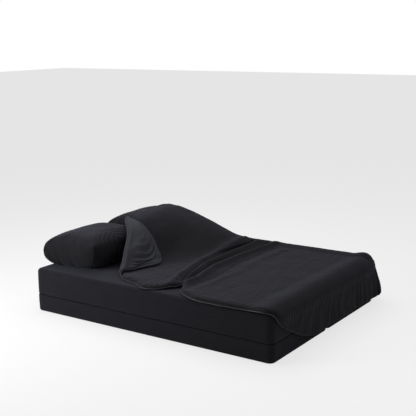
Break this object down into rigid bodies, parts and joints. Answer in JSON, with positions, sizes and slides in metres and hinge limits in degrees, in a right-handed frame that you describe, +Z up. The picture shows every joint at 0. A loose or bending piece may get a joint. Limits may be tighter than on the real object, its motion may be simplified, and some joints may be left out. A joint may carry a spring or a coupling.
{
  "type": "floor sofa bed",
  "caption": "Floor sofa bed laid out as a bed: zipped foam sections with back cushions as pillows and a lined quilt with one corner turned back.",
  "frame": {"origin": "middle of the whole laid-out bed at floor level", "axes": "+X from the head end to the foot end, +Y from the near section to the far section, +Z up"},
  "size_m": [2.133, 1.6312, 0.6686],
  "materials": {
    "cover_fabric": "brushed woven",
    "pillow_fabric": "fine ribbed plush",
    "quilt_fabric": "fine ribbed plush",
    "lining_satin": "satin",
    "binding_satin": "satin",
    "foam": "open-cell",
    "wadding": "fluffy fibre",
    "grip_fabric": "dotted",
    "zip_nylon": "coil",
    "slider_metal": "satin"
  },
  "bodies": {
    "root": {"far_upper_cover": "cover_fabric", "far_lower_cover": "cover_fabric", "far_zip_chain": "zip_nylon", "far_grip_panel": "grip_fabric", "far_base_foam": "foam", "far_support_foam": "foam", "far_comfort_foam": "foam"},
    "near_section": {"near_upper_cover": "cover_fabric", "near_lower_cover": "cover_fabric", "near_zip_chain": "zip_nylon", "near_grip_panel": "grip_fabric", "near_base_foam": "foam", "near_support_foam": "foam", "near_comfort_foam": "foam"},
    "near_slider": {"near_zip_slider": "slider_metal"},
    "near_pull": {"near_zip_pull": "slider_metal"},
    "near_pillow": {"near_pillow_cover": "pillow_fabric", "near_pillow_filling": "wadding", "near_pillow_zip_chain": "zip_nylon"},
    "near_pillow_slider": {"near_pillow_zip_slider": "slider_metal"},
    "far_slider": {"far_zip_slider": "slider_metal"},
    "far_pull": {"far_zip_pull": "slider_metal"},
    "far_pillow": {"far_pillow_cover": "pillow_fabric", "far_pillow_filling": "wadding", "far_pillow_zip_chain": "zip_nylon"},
    "far_pillow_slider": {"far_pillow_zip_slider": "slider_metal"},
    "quilt": {"quilt_top_cloth": "quilt_fabric", "quilt_wadding": "wadding", "quilt_lining": "lining_satin", "quilt_binding": "binding_satin"}
  },
  "joints": [
    {"name": "sections_part", "type": "slide", "parent": "root", "child": "near_section", "axis": [0, -1, 0], "range_m": [0, 0.3]},
    {"name": "quilt_lifts", "type": "slide", "parent": "root", "child": "quilt", "axis": [0, 0, 1], "range_m": [0, 0.6]},
    {"name": "near_pillow_pulls_out", "type": "slide", "parent": "near_section", "child": "near_pillow", "axis": [-1, 0, 0], "range_m": [0, 0.55]},
    {"name": "near_zip_runs", "type": "slide", "parent": "near_section", "child": "near_slider", "axis": [0, 1, 0], "range_m": [-0.3, 0.3]},
    {"name": "near_pull_swings", "type": "hinge", "parent": "near_slider", "child": "near_pull", "pos_m": [-1.06458, -0.42296, 0.13], "axis": [0, 1, 0], "range_deg": [0, 150]},
    {"name": "near_pillow_zip_runs", "type": "slide", "parent": "near_pillow", "child": "near_pillow_slider", "axis": [0, 1, 0], "range_m": [-0.18, 0.18]},
    {"name": "far_pillow_pulls_out", "type": "slide", "parent": "root", "child": "far_pillow", "axis": [-1, 0, 0], "range_m": [0, 0.55]},
    {"name": "far_zip_runs", "type": "slide", "parent": "root", "child": "far_slider", "axis": [0, 1, 0], "range_m": [-0.3, 0.3]},
    {"name": "far_pull_swings", "type": "hinge", "parent": "far_slider", "child": "far_pull", "pos_m": [-1.06458, 0.33204, 0.13], "axis": [0, 1, 0], "range_deg": [0, 150]},
    {"name": "far_pillow_zip_runs", "type": "slide", "parent": "far_pillow", "child": "far_pillow_slider", "axis": [0, 1, 0], "range_m": [-0.18, 0.18]}
  ]
}
